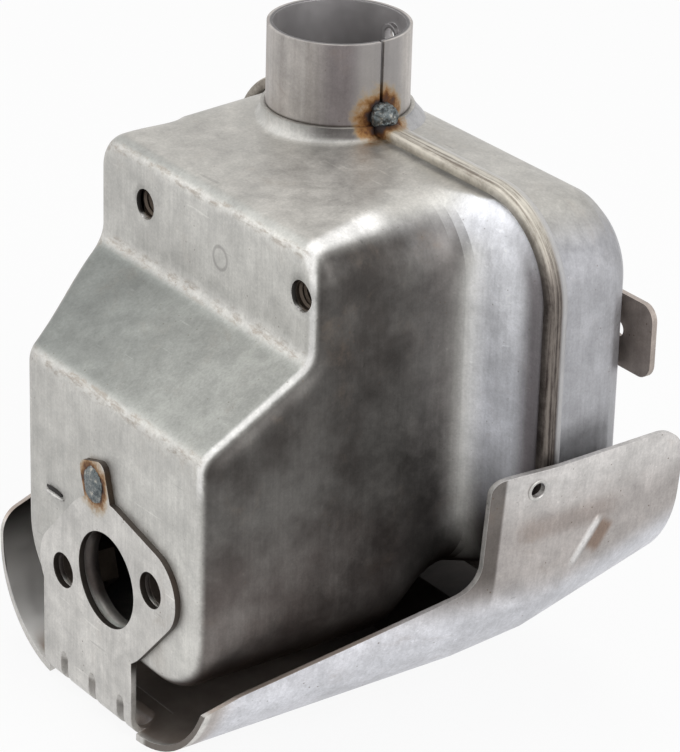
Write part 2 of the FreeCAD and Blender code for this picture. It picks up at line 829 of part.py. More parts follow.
def make_outlet_weld():
    """The tack weld that closes the hem against the pipe at the foot of the slit."""
    radius = size("tack_radius")
    start = PIPE_X + PIPE_RADIUS - 0.5
    blob = DOC.addObject("Part::Cone", "tack_blob")
    tie(blob, "Radius1", radius)
    tie(blob, "Radius2", radius * 0.6)
    tie(blob, "Height", size("tack_reach") + 0.5)
    blob.Placement.Rotation = FreeCAD.Rotation(FreeCAD.Vector(0, 1, 0), 90)
    place(blob, start, SEAM, size("tack_z"))
    reach = size("seam_top") + size("hem_reach")
    tools = [
        cylinder("tack_pipe", PIPE_RADIUS, 60, PIPE_X, SEAM, size("seam_top") - 20),
        cylinder("tack_collar", COLLAR_RADIUS, size("collar_top") - size("seam_top") + 20, PIPE_X, SEAM,
                 size("seam_top") - 20),
        box("tack_hem", 40, 40, 20, PIPE_X + COLLAR_RADIUS + size("hem_stop") - 0.2, SEAM - 20, reach - 20),
        box("tack_below", 80, 80, 20, PIPE_X, SEAM - 40, size("seam_top") - 20 + size("collar_round")),
    ]
    return cut("outlet_weld", blob, fused("tack_tools", tools))


def make_bracket_weld():
    """The plug weld that fills the tab's hole down to the nose."""
    return hole_along_y("bracket_weld", size("plug_bore") / 2, PLUG_X, PLUG_Z, 0, PLATE)


def scoop_section(body, y, left, right, floor, left_round, right_round, inset, lean):
    """A U across the bracket: two walls that lean out, and a floor between them."""
    lean = tangent(as_size(lean))
    high = size("scoop_high")
    floor = floor + inset
    left = left - inset
    right = right - inset
    left_round = left_round - inset
    right_round = right_round - inset
    sketch = new_sketch(body, "XZ_Plane", -as_size(y))
    outline(sketch, [
        (-left + left_round * lean, floor, left_round),
        (right - right_round * lean, floor, right_round),
        (right + (high - floor - right_round) * lean, high, None),
        (-left - (high - floor - left_round) * lean, high, None),
    ])
    return sketch


def scoop_form(name, inset, overrun):
    """The bracket's scoop as a solid block, taken in by the inset."""
    inset = as_size(inset)
    body = new_body(name)
    lean = size("scoop_lean")
    half = SCOOP_HALF
    bend_half = half - size("scoop_bend_narrow")
    sections = [
        scoop_section(body, NOSE - overrun, size("scoop_front_left"), size("scoop_front_right"),
                      size("scoop_front_floor"), size("scoop_front_round_left"), size("scoop_front_round"),
                      inset, 0.01),
        scoop_section(body, size("scoop_bend_y"), bend_half, bend_half,
                      size("scoop_bend_floor"), size("scoop_bend_round"), size("scoop_bend_round"), inset, lean),
        scoop_section(body, size("scoop_foot_y"), half, half, size("scoop_foot_floor"),
                      size("scoop_foot_round"), size("scoop_foot_round"), inset, lean),
        scoop_section(body, size("scoop_rear_y") + overrun, half, half, size("scoop_rear_floor"),
                      size("scoop_rear_round"), size("scoop_rear_round"), inset, lean),
    ]
    loft(body, sections, ruled=True)
    return body


def side_keep(name, right):
    """The side view of one wall: what is kept of the scoop on that side."""
    body = new_body(name)
    sketch = new_sketch(body, "YZ_Plane", 0)
    rear = size("scoop_rear_y")
    low = -60
    if right:
        corners = [
            (NOSE, low, None),
            (rear, low, None),
            (rear, size("wing_top"), size("wing_rear_round")),
            (size("wing_front_y"), size("wing_top"), size("wing_front_round")),
            (size("wing_front_y"), size("right_foot_z"), size("right_foot_round")),
            (size("right_lift_y"), size("right_lift_z"), size("right_foot_round")),
            (NOSE, size("right_front_z"), None),
        ]
    else:
        corners = [
            (NOSE, low, None),
            (rear, low, None),
            (rear, size("left_rear_z"), size("left_round")),
            (NOSE, size("left_front_z"), size("left_round")),
        ]
    outline(sketch, corners)
    pad(body, sketch, THROUGH / 2, backwards=not right)
    return body


def neck_form(name, inset, rear):
    """The neck's side view as a solid block: the back of the plate, the bend and the floor's slope."""
    inset = as_size(inset)
    slope = (size("scoop_bend_floor") - size("scoop_front_floor")) / (size("scoop_bend_y") - NOSE)
    lift = inset * root(slope * slope + 1)
    foot = size("scoop_front_floor") - NOSE * slope
    body = new_body(name)
    sketch = new_sketch(body, "YZ_Plane", -size("neck_left"))
    outline(sketch, [
        (inset, foot + lift + inset * slope, size("neck_bend") - inset),
        (rear, foot + lift + rear * slope, None),
        (rear, 0, None),
        (inset, 0, None),
    ])
    pad(body, sketch, size("neck_left") + size("neck_right"))
    return body


def gussets(name, radius):
    """Slanting tools across the neck's bend, round on the inside and open to the outside."""
    turn = FreeCAD.Rotation(FreeCAD.Vector(1, 0, 0), -135)
    near = size("gusset_radius") * math.sqrt(0.5)
    run = 30
    lift = run * math.sqrt(0.5)
    tools = []
    for number in range(3):
        x = size("gusset_first") + size("gusset_pitch") * number
        y = -near - lift
        z = size("gusset_top") - near + lift
        channel = cylinder(f"{name}_{number}", radius, run * 2, x, y, z)
        room = box(f"{name}_room_{number}", radius * 2, size("gusset_room"), run * 2, x - radius, y, z)
        for tool in (channel, room):
            tool.Placement.Rotation = turn
            tools.append(tool)
    return tools


def make_base_bracket():
    """The folded sheet: flange plate with its tab, neck with gussets, scoop, walls and wing."""
    rear = size("neck_overlap")
    dents = fused("gusset_dents", gussets("dent", size("gusset_radius")))
    skin = cut("neck_skin", neck_form("neck_outer", 0, rear), dents)
    room = cut("neck_room", neck_form("neck_inner", PLATE, rear + 1),
               fused("gusset_ribs", gussets("rib", size("gusset_radius") + PLATE)))
    neck = cut("neck", skin, room)
    tray = cut("scoop_tray", scoop_form("scoop_outer", 0, 0), scoop_form("scoop_inner", PLATE, 1))
    walls = fused("scoop_sides", [common("scoop_right", tray, side_keep("right_keep", True)),
                                  common("scoop_left", tray, side_keep("left_keep", False))])
    open_front = box("neck_clearance", size("neck_left") + size("neck_right"), rear, 60,
                     -size("neck_left"), -1, -60)
    scoop = cut("scoop", walls, open_front)
    tab = new_body("tab")
    sketch = new_sketch(tab, "XZ_Plane", 0)
    left = size("tab_shift") - size("tab_half")
    right = size("tab_shift") + size("tab_half")
    corner = size("tab_corner")
    outline(sketch, [
        rotated_point(left, as_size(0)) + (None,),
        rotated_point(right, as_size(0)) + (None,),
        rotated_point(right, size("tab_top")) + (corner,),
        rotated_point(left, size("tab_top")) + (corner,),
    ])
    pad(tab, sketch, PLATE, backwards=True)
    plate = diamond("flange", size("flange_hub"), size("flange_lobe"), 0, PLATE)
    blank = fused("bracket_blank", [plate, tab, neck, scoop])
    drills = bolt_holes("flange_bolt", size("bolt_bore") / 2, -5, 20)
    drills += [
        hole_along_y("flange_inlet", size("inlet_bore") / 2, 0, 0, -5, 20),
        hole_along_y("flange_plug", size("plug_bore") / 2, PLUG_X, PLUG_Z, -5, 20),
    ]
    screw = cylinder("wing_hole", size("wing_hole") / 2, 20, SCOOP_HALF - 8,
                     size("wing_hole_y"), size("wing_hole_z"))
    screw.Placement.Rotation = FreeCAD.Rotation(FreeCAD.Vector(0, 1, 0), 90)
    drills.append(screw)
    return cut("base_bracket", blank, fused("bracket_drills", drills))


def make_rear_bracket():
    """The ear on the rear face with its pierced hole."""
    body = new_body("ear")
    sketch = new_sketch(body, "XZ_Plane", -size("rear_face"))
    corner = size("ear_corner")
    outer = SEAM_HALF + size("ear_reach")
    inner = outer - size("ear_width")
    outline(sketch, [
        (inner, size("ear_bottom"), corner),
        (outer, size("ear_bottom"), corner),
        (outer, size("ear_top"), corner),
        (inner, size("ear_top"), corner),
    ])
    pad(body, sketch, size("ear_thick"), backwards=True)
    middle = between(size("ear_bottom"), size("ear_top"), 0.5)
    return cut("rear_bracket", body, hole_along_y("ear_pierced", size("ear_hole") / 2, SEAM_HALF - size("ear_hole_inset"),
                                                  middle, size("rear_face") - 5, 20))


def main():
    make_sheet()
    pieces = {
        "front_shell": make_front_shell(),
        "rear_shell": make_rear_shell(),
        "inlet_plate": make_inlet_plate(),
        "inlet_nuts": make_inlet_nuts(),
        "nut_strip": make_nut_strip(),
        "baffle_plate": make_baffle_plate(),
        "outlet_pipe": make_outlet_pipe(),
        "outlet_weld": make_outlet_weld(),
        "bracket_weld": make_bracket_weld(),
        "base_bracket": make_base_bracket(),
        "rear_bracket": make_rear_bracket(),
    }
    DOC.recompute()
    export(pieces)


def export(pieces):
    """Check every object and write each piece to its own file."""
    for item in DOC.Objects:
        if "Invalid" in item.State or "Error" in item.State:
            raise RuntimeError(f"{item.Name} failed: {item.State}")
    os.makedirs("parts", exist_ok=True)
    for name, item in pieces.items():
        item.Label = name
        shape = item.Shape
        if shape.isNull() or not shape.isValid():
            raise RuntimeError(f"{name} has no valid shape")
        shape.exportStep(f"parts/{name}.step")
        box_now = shape.BoundBox
        print(f"{name}: {len(shape.Solids)} solid, {shape.Volume:.0f} mm3, "
              f"x {box_now.XMin:.1f}..{box_now.XMax:.1f}, y {box_now.YMin:.1f}..{box_now.YMax:.1f}, "
              f"z {box_now.ZMin:.1f}..{box_now.ZMax:.1f}")


main()
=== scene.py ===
import math

import bmesh
import bpy
from mathutils import Matrix, Vector, noise


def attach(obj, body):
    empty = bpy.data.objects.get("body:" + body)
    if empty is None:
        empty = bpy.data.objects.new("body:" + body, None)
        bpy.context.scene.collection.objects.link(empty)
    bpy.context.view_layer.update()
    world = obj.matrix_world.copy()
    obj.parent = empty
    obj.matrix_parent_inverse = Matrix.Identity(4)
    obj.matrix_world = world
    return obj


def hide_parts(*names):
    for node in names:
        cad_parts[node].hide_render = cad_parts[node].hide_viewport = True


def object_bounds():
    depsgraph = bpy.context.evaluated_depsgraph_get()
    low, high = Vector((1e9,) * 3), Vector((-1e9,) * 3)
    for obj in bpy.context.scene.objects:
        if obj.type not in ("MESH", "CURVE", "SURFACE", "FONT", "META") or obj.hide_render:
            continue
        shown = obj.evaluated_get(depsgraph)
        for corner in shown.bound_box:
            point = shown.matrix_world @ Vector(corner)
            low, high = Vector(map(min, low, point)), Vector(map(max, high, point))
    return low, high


# A small engine muffler of bare drawn sheet: the imported CAD pieces with procedural steel finishes,
# which include painted light and shade, and the weld beads, threads, small rims and the dark lens of
# painted shade in the slot that are built here. The constants are in millimetres in the CAD frame,
# apart from the studio's, which are in metres like Blender's own lengths.

MM = 0.001
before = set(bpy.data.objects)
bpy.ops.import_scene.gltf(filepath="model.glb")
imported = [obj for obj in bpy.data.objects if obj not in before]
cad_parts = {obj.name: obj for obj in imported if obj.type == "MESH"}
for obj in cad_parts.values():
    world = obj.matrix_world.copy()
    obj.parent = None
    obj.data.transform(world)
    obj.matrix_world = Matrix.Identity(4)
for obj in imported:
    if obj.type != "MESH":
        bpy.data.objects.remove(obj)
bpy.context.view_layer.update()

# Places on the shells, the pipe and the bracket. The pipe's axis is upright and given in x and y, and
# the rib lies flat in the wing and has its ends in y and z.
PIPE_AXIS = (-23.75, 81.1)
PIPE_RADIUS = 17.5
COLLAR_TOP = 96.6
OUTLET_WELD = (-5.0, 81.1, 98.6)
PLUG_WELD = (-5.5, 0.0, 22.8)
HEM_BACK = 84.2
UPPER_SPOT = (-0.3, 31.5, 75.1)
UPPER_SPOT_RADIUS = 2.8
WING_RIB = ((94.9, 19.3), (87.4, 7.8))

# Lumpy pieces: centre, half sizes, how lumpy, and the place in the noise that the lumps come from
BEADS = {
    "outlet_bead": (OUTLET_WELD, (3.3, 3.3, 3.3), 0.35, 1),
    "bracket_bead": (PLUG_WELD, (3.8, 0.75, 4.3), 0.25, 2),
    "slot_lip": ((-25.0, 1.35, 11.6), (4.0, 0.9, 0.7), 0.04, 3),
    # A dark lens that stands in for the shade inside the slot: painted shade
    "slot_shade": ((-25.0, 1.4, 12.6), (3.6, 0.25, 0.75), 0.05, 4),
}
BEAD_WAVES = ((1.5, 0.5), (3.5, 0.35), (8.0, 0.22))

# The rim round the wing's hole: centre, normal, radius and half its thickness
WING_HOLE_RIM = ((67.5, 74.4, 32.0), (0.993, 0.0, -0.12), 2.4, 0.45)
RIM_FLATTENING = 0.7
RIM_STEPS = 48
RIM_SIDES = 12

# Threads in the upper holes and in the weld nuts behind the mounting holes. The flank is a share of
# the pitch, and the steps are those of one turn.
UPPER_HOLES = ((-32.25, 32.7, 77.5), (32.25, 32.7, 77.5))
MOUNT_HOLES = ((19.13, 4.7, 5.85), (-19.13, 4.7, -5.85))
THREAD_RADIUS = 3.42
THREAD_PITCH = 1.25
THREAD_DEPTH = 0.5
THREAD_LENGTH = 5.0
THREAD_START = 0.6
THREAD_FLANK = 0.45
THREAD_STEPS = 32

# Colours of the front shell, in linear light
FACE_LEFT = (0.51, 0.50, 0.475)
FACE_RIGHT = (0.61, 0.60, 0.57)
TOP_STEEL = (0.46, 0.445, 0.415)
# The slope's colours are painted shade
SLOPE_LEFT = (0.245, 0.255, 0.24)
SLOPE_RIGHT = (0.385, 0.39, 0.365)
# The shoulder's colours are painted highlights, and its foot's colour is painted shade
SHOULDER_HIGHLIGHT_MIDDLE = (0.69, 0.70, 0.745)
SHOULDER_HIGHLIGHT_TOP = (0.93, 0.94, 0.98)
SHOULDER_FOOT_SHADE = (0.035, 0.029, 0.027)
# Painted highlight on the upper right corner
CORNER_HIGHLIGHT = (0.86, 0.87, 0.91)
# The right side's colours are painted shade
SIDE_SHADE = (0.058, 0.052, 0.048)
SIDE_SHADE_LOW = (0.105, 0.088, 0.082)
SIDE_SHADE_BACK = (0.125, 0.115, 0.11)
# Brown grime with painted shadow under the hem, then painted shade under the belly
JOINT_GRIME_AND_SHADOW = (0.085, 0.062, 0.062)
BELLY_SHADE = (0.035, 0.024, 0.020)
# Painted highlight on the rounded edge beside the dark side
EDGE_HIGHLIGHT = (0.90, 0.89, 0.87)
FOLD_DIRT = (0.27, 0.225, 0.18)
SPOT_RING = (0.16, 0.14, 0.14)

# Colours of the rear shell and its hem
REAR_SIDE = (0.41, 0.41, 0.43)
REAR_TOP = (0.47, 0.455, 0.425)
HEM_DARK = (0.20, 0.17, 0.14)
HEM_DARK_LOW = (0.035, 0.026, 0.023)
HEM_LIGHT = (0.60, 0.565, 0.495)
HEM_LIGHT_LOW = (0.20, 0.175, 0.155)
# Painted highlight on the hem's rounded back
HEM_BACK_HIGHLIGHT = (0.56, 0.55, 0.54)
# Painted shadow in the hem's foot
HEM_FOOT_SHADOW = (0.10, 0.09, 0.085)

# Colours of the pipe
PIPE_DARK = (0.37, 0.34, 0.32)
PIPE_LIGHT = (0.50, 0.47, 0.445)
# Painted shade on the pipe's right side, in two colours
PIPE_SHADE = (0.205, 0.18, 0.185)
PIPE_EDGE_SHADE = (0.25, 0.24, 0.24)
PIPE_INSIDE = (0.47, 0.455, 0.46)
PIPE_RIM = (0.10, 0.095, 0.095)
PIPE_GRIME = (0.05, 0.04, 0.032)

# Colours of the bracket
BRACKET_HIGH = (0.60, 0.58, 0.565)
BRACKET_LOW = (0.43, 0.40, 0.385)
# Painted reflection of the floor on the scoop's lower outside
SCOOP_FLOOR_REFLECTION = (0.71, 0.71, 0.745)
FLANGE_STEEL = (0.60, 0.585, 0.56)
# Painted reflection of the floor on the lower bend
BEND_FLOOR_REFLECTION = (0.64, 0.645, 0.68)
# Brown smear with painted shade beside the rib, then a painted highlight on it
RIB_SMEAR_AND_SHADE = (0.20, 0.13, 0.09)
RIB_HIGHLIGHT = (0.74, 0.73, 0.72)
WING_BAND = (0.27, 0.215, 0.185)
WING_FOLD = (0.10, 0.085, 0.075)
# Inside the scoop: painted shade, then painted light towards the front
SCOOP_SHADE_DARK = (0.022, 0.016, 0.013)
SCOOP_SHADE_LIGHT = (0.060, 0.048, 0.040)
SCOOP_LIT_DARK = (0.32, 0.265, 0.225)
SCOOP_LIT_LIGHT = (0.46, 0.40, 0.36)
# The left wall: painted shade above and painted light below
WALL_SHADE = (0.022, 0.018, 0.016)
WALL_LIT = (0.90, 0.885, 0.86)
# Browned cut edges with painted shade
CUT_EDGE_AND_SHADE = (0.045, 0.032, 0.024)
SCOOP_LIP = (0.115, 0.095, 0.08)

# Colours of the other pieces, of the marks that every sheet has, and of the floor card
EAR_STEEL = (0.42, 0.365, 0.33)
SOOT = (0.03, 0.027, 0.025)
INNER_STEEL = (0.20, 0.17, 0.15)
NUT_STEEL = (0.12, 0.095, 0.075)
BARE_STEEL = (0.55, 0.54, 0.52)
SMEAR_DIRT = (0.20, 0.15, 0.11)
RUST = (0.12, 0.085, 0.06)
FLOOR_GREY = (0.8, 0.8, 0.8)

# Temper colours from a weld outwards, and how ragged their border is as a share of their reach
HEAT_COLOURS = (
    (0.0, (0.03, 0.03, 0.035)),
    (0.40, (0.05, 0.04, 0.04)),
    (0.52, (0.12, 0.05, 0.02)),
    (0.66, (0.30, 0.16, 0.055)),
    (0.82, (0.42, 0.30, 0.15)),
    (1.0, (0.5, 0.45, 0.38)),
)
HEAT_RAGGED = 0.8

# Weld metal from its darkest patches to its brightest
WELD_COLOURS = (
    (0.28, (0.035, 0.035, 0.04)),
    (0.45, (0.11, 0.13, 0.135)),
    (0.58, (0.19, 0.205, 0.205)),
    (0.72, (0.5, 0.48, 0.42)),
)

# Scratches: how they are turned, and how much brighter or darker than the steel they are
SCRATCHES = (
    ((12, 8, 25), 1.35),
    ((-30, 20, -50), 0.6),
    ((50, -15, 80), 1.3),
)

# How metallic all the steel is, and how finely a softened edge is sampled
METALLIC = 0.8
BEVEL_SAMPLES = 4

# The studio: how white the floor card looks, how far it reaches, how strong the world lights
# things, what the lamps point at, and each lamp's place, width, height and power
FLOOR_WHITE = 0.9
FLOOR_REACH = 6
WORLD_LIGHT = 0.54
LAMP_TARGET = (0, 0.05, 0.03)
LAMPS = {
    "key": ((-0.9, -0.9, 0.8), 0.9, 0.9, 5),
    "top": ((-0.1, 0.2, 1.3), 1.0, 1.0, 4),
    "right": ((1.2, 0.2, 0.7), 0.6, 0.8, 8),
}

# The camera's azimuth, elevation and roll in degrees, its focal length and centre in pixels of the
# photograph, where it sees the frame's zero (to the right, upwards and away), and its sensor's width
PHOTO_SIZE = (680, 752)
CAMERA_ANGLES = (53.34, 24.52, 1.77)
CAMERA_FOCAL = 3641.2
CAMERA_CENTRE = (361.7, 356.9)
CAMERA_OFFSET = (-60.23, -52.56, 857.03)
SENSOR_WIDTH = 36.0

# The parts of a surface point and of its normal, and the outputs that they come from
PARTS = {
    "x": ("Object", "X"),
    "y": ("Object", "Y"),
    "z": ("Object", "Z"),
    "across": ("Normal", "X"),
    "ahead": ("Normal", "Y"),
    "up": ("Normal", "Z"),
}


# Shader building

class Shader:
    """A material's node tree, with one short call for each kind of node."""

    def __init__(self, name, soften=None):
        self.material = bpy.data.materials.new(name)
        self.material.use_nodes = True
        self.tree = self.material.node_tree
        self.tree.nodes.clear()
        self.output = self.new("ShaderNodeOutputMaterial")
        self.bsdf = self.new("ShaderNodeBsdfPrincipled")
        self.link(self.bsdf.outputs["BSDF"], self.output.inputs["Surface"])
        self.coordinates = self.new("ShaderNodeTexCoord")
        self.position = self.coordinates.outputs["Object"]
        self.parts = {}
        self.normal = None
        if soften:
            edges = self.new("ShaderNodeBevel")
            edges.samples = BEVEL_SAMPLES
            edges.inputs["Radius"].default_value = soften * MM
            self.normal = edges.outputs["Normal"]

    def finish(self, colour):
        """Set the surface's colour and normal, and hand out the material."""
        self.feed(self.bsdf.inputs["Base Color"], colour)
        if self.normal:
            self.link(self.normal, self.bsdf.inputs["Normal"])
        return self.material

    def new(self, kind):
        return self.tree.nodes.new(kind)

    def link(self, start, end):
        self.tree.links.new(start, end)

    def feed(self, socket, value):
        """Put a number, a colour or another node's output into a socket."""
        if isinstance(value, bpy.types.NodeSocket):
            self.link(value, socket)
        elif isinstance(value, tuple) and socket.type == "RGBA":
            socket.default_value = (*value, 1.0)
        else:
            socket.default_value = value

    def stretched(self, scale, turn):
        """The object's coordinates, turned and then scaled along each axis."""
        node = self.new("ShaderNodeMapping")
        node.inputs["Rotation"].default_value = [math.radians(angle) for angle in turn]
        node.inputs["Scale"].default_value = scale
        self.link(self.position, node.inputs["Vector"])
        return node.outputs["Vector"]

    def noise(self, size, detail, roughness, distortion=0.0, stretch=None, turn=(0, 0, 0)):
        """Noise whose patches are about size millimetres wide, from 0 to 1."""
        node = self.new("ShaderNodeTexNoise")
        node.inputs["Scale"].default_value = 1 / (size * MM)
        node.inputs["Detail"].default_value = detail
        node.inputs["Roughness"].default_value = roughness
        node.inputs["Distortion"].default_value = distortion
        vector = self.stretched(stretch, turn) if stretch else self.position
        self.link(vector, node.inputs["Vector"])
        return node.outputs["Fac"]

    def cells(self, size):
        """The distance to the nearest of scattered points about size millimetres apart."""
        node = self.new("ShaderNodeTexVoronoi")
        node.inputs["Scale"].default_value = 1 / (size * MM)
        self.link(self.position, node.inputs["Vector"])
        return node.outputs["Distance"]

    def span(self, value, low, high, out_low=0.0, out_high=1.0):
        """The value remapped with smooth ends, held between its limits."""
        node = self.new("ShaderNodeMapRange")
        node.interpolation_type = "SMOOTHSTEP"
        settings = {"Value": value, "From Min": low, "From Max": high, "To Min": out_low, "To Max": out_high}
        for name, number in settings.items():
            self.feed(node.inputs[name], number)
        return node.outputs["Result"]

    def calc(self, operation, first, second=0.0):
        node = self.new("ShaderNodeMath")
        node.operation = operation
        self.feed(node.inputs[0], first)
        self.feed(node.inputs[1], second)
        return node.outputs["Value"]

    def times(self, *values):
        product = values[0]
        for value in values[1:]:
            product = self.calc("MULTIPLY", product, value)
        return product

    def most(self, *values):
        top = values[0]
        for value in values[1:]:
            top = self.calc("MAXIMUM", top, value)
        return top

    def blend(self, share, first, second):
        node = self.new("ShaderNodeMix")
        node.data_type = "RGBA"
        self.feed(node.inputs[0], share)
        self.feed(node.inputs[6], first)
        self.feed(node.inputs[7], second)
        return node.outputs[2]

    def paint(self, colour, mask, coat, strength=1.0):
        """The colour with a coat of another over it where the mask lies."""
        share = mask if strength == 1.0 else self.times(mask, strength)
        return self.blend(share, colour, coat)

    def scaled(self, colour, factor):
        """A colour made lighter or darker by a factor."""
        node = self.new("ShaderNodeVectorMath")
        node.operation = "SCALE"
        self.feed(node.inputs[0], colour)
        self.feed(node.inputs["Scale"], factor)
        return node.outputs["Vector"]

    def ramp(self, value, stops):
        """A colour ramp through (place, colour) stops."""
        node = self.new("ShaderNodeValToRGB")
        while len(node.color_ramp.elements) < len(stops):
            node.color_ramp.elements.new(0.5)
        for element, (place, colour) in zip(node.color_ramp.elements, stops):
            element.position = place
            element.color = (*colour, 1.0)
        self.link(value, node.inputs["Fac"])
        return node.outputs["Color"]

    def part(self, name):
        """One coordinate of the surface point, in metres, or one part of its normal."""
        if name not in self.parts:
            source, letter = PARTS[name]
            node = self.new("ShaderNodeSeparateXYZ")
            self.link(self.coordinates.outputs[source], node.inputs["Vector"])
            self.parts[name] = node.outputs[letter]
        return self.parts[name]

    def where(self, **bounds):
        """A mask that is 0 at the first bound of every part and 1 at the second."""
        masks = []
        for name, (start, end) in bounds.items():
            unit = MM if name in ("x", "y", "z") else 1.0
            masks.append(self.span(self.part(name), start * unit, end * unit))
        return self.times(*masks)

    def distance(self, point, start=None):
        """Metres from the surface, or from another start, to a point given in millimetres."""
        node = self.new("ShaderNodeVectorMath")
        node.operation = "DISTANCE"
        self.link(start or self.position, node.inputs[0])
        node.inputs[1].default_value = [number * MM for number in point]
        return node.outputs["Value"]

    def distance_from_axis(self, middle):
        """Metres from the surface to the upright axis through a place given in millimetres."""
        flat = self.new("ShaderNodeVectorMath")
        flat.operation = "MULTIPLY"
        flat.inputs[1].default_value = (1, 1, 0)
        self.link(self.position, flat.inputs[0])
        return self.distance((*middle, 0), flat.outputs["Vector"])

    def beside_line(self, start, end):
        """Metres along and beside a line between two (y, z) places, counted from its middle."""
        length = math.dist(start, end)
        step_y, step_z = [(last - first) / length for first, last in zip(start, end)]
        middle_y, middle_z = [(first + last) / 2 * MM for first, last in zip(start, end)]
        off_y = self.calc("SUBTRACT", self.part("y"), middle_y)
        off_z = self.calc("SUBTRACT", self.part("z"), middle_z)
        lengthwise = self.calc("ADD", self.times(off_y, step_y), self.times(off_z, step_z))
        sideways = self.calc("SUBTRACT", self.times(off_y, step_z), self.times(off_z, step_y))
        return lengthwise, sideways

    def bump(self, height, strength, depth):
        """Raise the shading by a height map, on top of the bumps before it."""
        node = self.new("ShaderNodeBump")
        node.inputs["Strength"].default_value = strength
        node.inputs["Distance"].default_value = depth * MM
        self.link(height, node.inputs["Height"])
        if self.normal:
            self.link(self.normal, node.inputs["Normal"])
        self.normal = node.outputs["Normal"]


# Finishes, with painted light and shade

def heat_tint(shader, colour, point, reach, strength=1.0):
    """Temper colours round a weld: blue-grey beside it, then brown and orange, fading to straw."""
    ragged = shader.calc("SUBTRACT", shader.noise(3.2, detail=4.0, roughness=0.65), 0.5)
    shift = shader.times(ragged, reach * HEAT_RAGGED * MM)
    away = shader.calc("SUBTRACT", shader.distance(point), shift)
    share = shader.calc("DIVIDE", away, reach * MM)
    fade = shader.span(share, 0.55, 1.0, strength, 0.0)
    return shader.blend(fade, colour, shader.ramp(share, HEAT_COLOURS))


def weather(shader, colour, amount=1.0, rust=0.5):
    """Handling marks on bare sheet: cloudy tones, rolling grain, scratches, pits and specks of rust."""
    clouds = shader.noise(24.0, detail=4.0, roughness=0.6, distortion=0.4)
    patches = shader.noise(6.0, detail=6.0, roughness=0.72, distortion=0.3)
    grain = shader.noise(0.9, detail=3.0, roughness=0.6, stretch=(1.0, 1.0, 0.05))
    fine = shader.noise(0.55, detail=3.0, roughness=0.6)
    # Each pattern's limits, how much it darkens and brightens, and its bump's strength and depth
    layers = (
        (clouds, (0.25, 0.75), (0.13, 0.10), (0.25, 0.12)),
        (patches, (0.2, 0.8), (0.20, 0.16), (0.25, 0.06)),
        (grain, (0.2, 0.8), (0.07, 0.06), (0.15, 0.03)),
        (fine, (0.2, 0.8), (0.08, 0.08), (0.25, 0.02)),
    )
    tones = []
    for pattern, limits, (darker, brighter), (strength, depth) in layers:
        tones.append(shader.span(pattern, *limits, 1.0 - darker * amount, 1.0 + brighter * amount))
        shader.bump(pattern, strength, depth)
    colour = shader.scaled(colour, shader.times(*tones))
    # Brownish smears
    smears = shader.noise(15.0, detail=6.0, roughness=0.7, distortion=0.8)
    smeared = shader.times(shader.span(smears, 0.52, 0.8), shader.span(patches, 0.35, 0.7))
    colour = shader.paint(colour, smeared, SMEAR_DIRT, strength=0.55 * amount)
    # Short scratches at a few angles, some bright and some dark
    for number, (turn, shade) in enumerate(SCRATCHES):
        streaks = shader.noise(1.1, detail=1.0, roughness=0.4, stretch=(0.06, 1.0, 1.0), turn=turn)
        gate = shader.noise(10.0 + 3 * number, detail=2.0, roughness=0.5)
        scratched = shader.times(shader.span(streaks, 0.72, 0.77), shader.span(gate, 0.54, 0.62))
        colour = shader.paint(colour, scratched, shader.scaled(colour, shade), strength=0.5)
    # Pits and specks of rust
    gate = shader.noise(7.0, detail=3.0, roughness=0.55)
    pits = shader.times(shader.span(shader.cells(2.3), 0.13, 0.05), shader.span(gate, 0.5, 0.62))
    colour = shader.paint(colour, pits, RUST, strength=rust)
    shader.feed(shader.bsdf.inputs["Roughness"], shader.span(patches, 0.2, 0.8, 0.40, 0.56))
    shader.bsdf.inputs["Metallic"].default_value = METALLIC
    return colour


